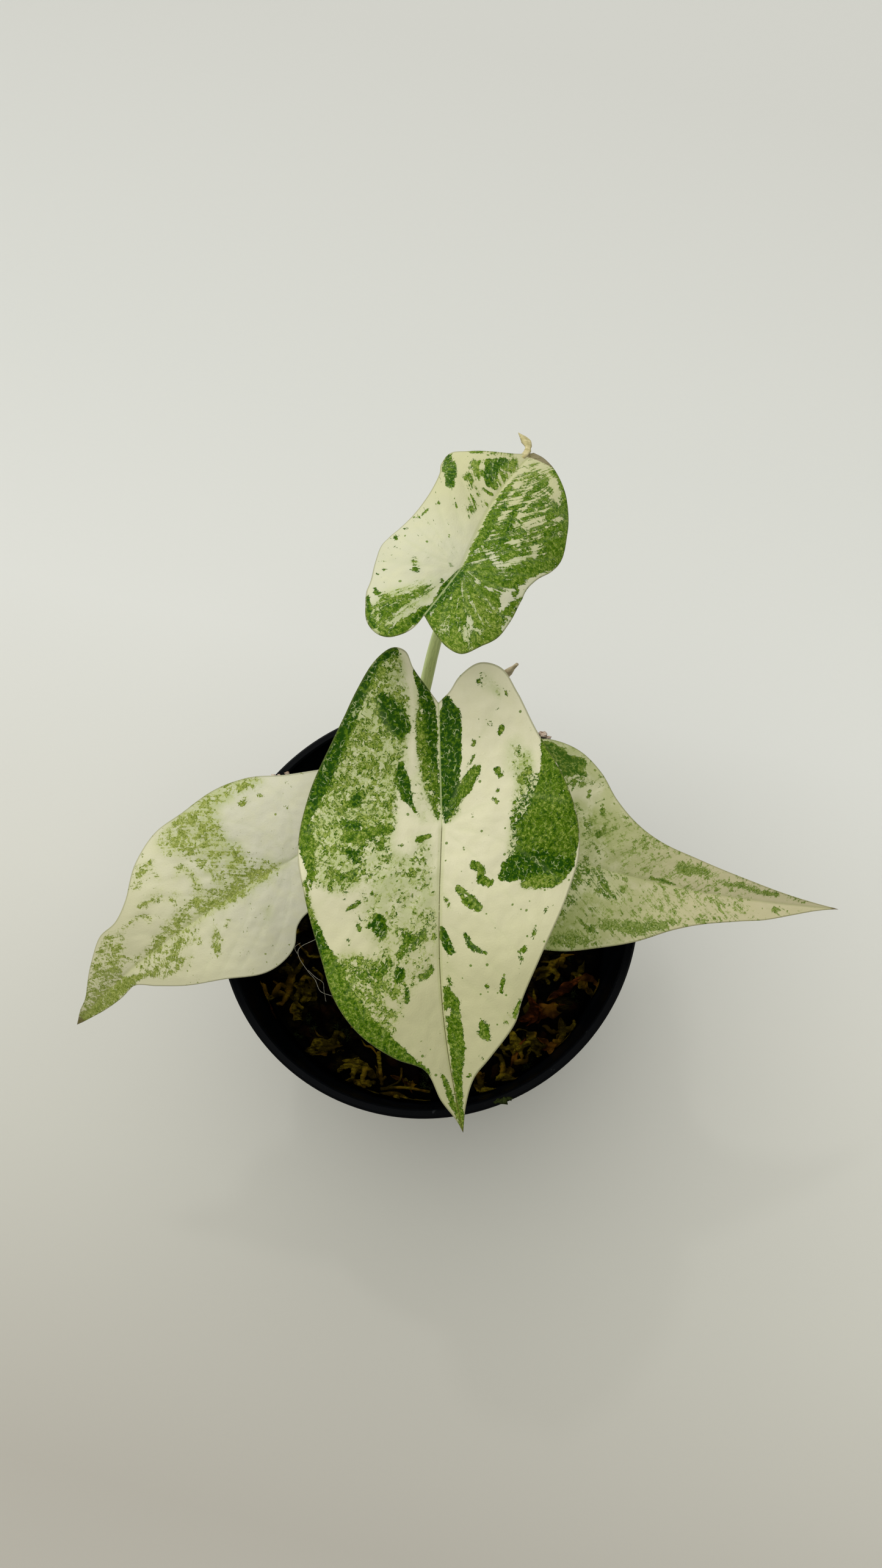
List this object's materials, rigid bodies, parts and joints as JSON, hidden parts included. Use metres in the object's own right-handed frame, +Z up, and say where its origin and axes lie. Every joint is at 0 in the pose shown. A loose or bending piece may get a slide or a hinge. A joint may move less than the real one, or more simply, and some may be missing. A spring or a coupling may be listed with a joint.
{
  "type": "potted variegated alocasia longiloba",
  "caption": "Small variegated aroid with shield-shaped cream and green leaves on slender stalks, growing in a round black nursery pot filled with bark and fibre.",
  "frame": {"origin": "centre of the pot's flat underside", "axes": "+Z up out of the pot; -Y is the side that the longest leaf's tip hangs over; +X is towards the leaf with the drawn-out tip"},
  "size_m": [0.1814, 0.1406, 0.1792],
  "materials": {
    "pot_plastic": "thin black moulded plastic, satin",
    "bark_mix": "damp bark chips, fern fibre and dried leaf, dark and matte",
    "corm_skin": "brown fibrous plant skin",
    "leaf_variegated": null,
    "petiole_green": "pale green living leaf stalk, smooth",
    "dry_stalk": "dried, pinkish brown, papery",
    "moss": "fine olive moss tufts",
    "root_hair": "fine white root hairs"
  },
  "bodies": {
    "root": {"pot": "pot_plastic", "substrate": "bark_mix", "corm": "corm_skin", "leaf_front": "leaf_variegated", "leaf_left": "leaf_variegated", "leaf_right": "leaf_variegated", "leaf_top": "leaf_variegated", "withered_stalk": "dry_stalk"}
  },
  "joints": []
}
